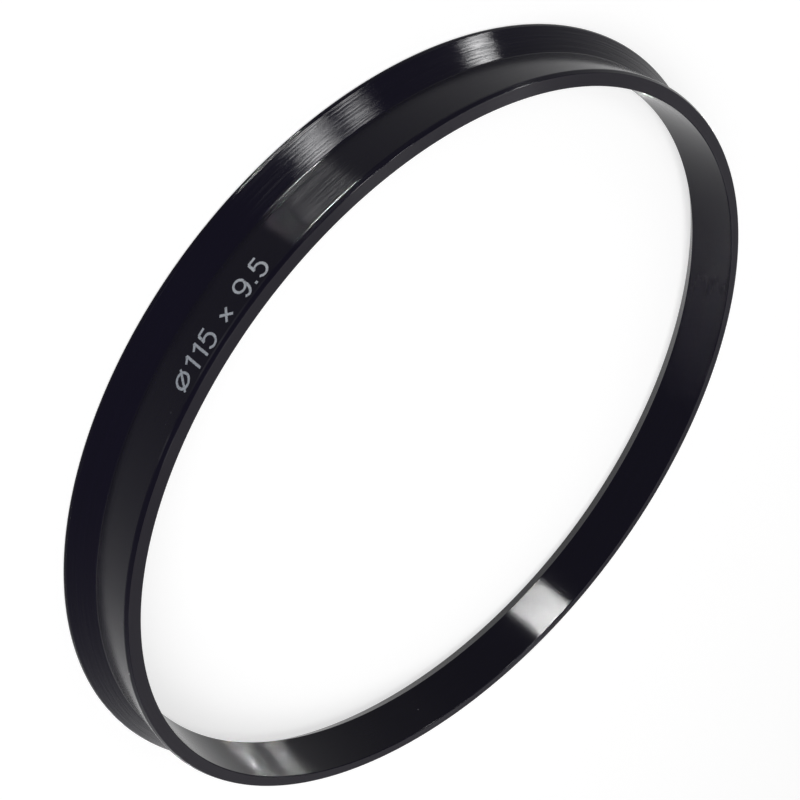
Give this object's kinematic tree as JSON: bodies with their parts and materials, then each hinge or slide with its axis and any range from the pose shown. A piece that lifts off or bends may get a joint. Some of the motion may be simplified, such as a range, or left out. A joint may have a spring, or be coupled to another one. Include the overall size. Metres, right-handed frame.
{
  "type": "hub centric ring",
  "caption": "Thin turned ring with a plain spigot, a coned lip and a chamfered bore, black anodised, that centres a wheel on a smaller hub.",
  "frame": {"origin": "on the ring's axis, in the plane of the lip's flat end face", "axes": "+Z along the ring's axis, from the lip end to the spigot's nose; X and Y are free, as the ring is round"},
  "size_m": [0.115, 0.115, 0.0095],
  "materials": {
    "anodised_black": "black anodised over fine turning marks, satin",
    "size_mark": "pale grey laser mark, matte"
  },
  "bodies": {
    "root": {"hub_centric_ring": "anodised_black"}
  },
  "joints": []
}
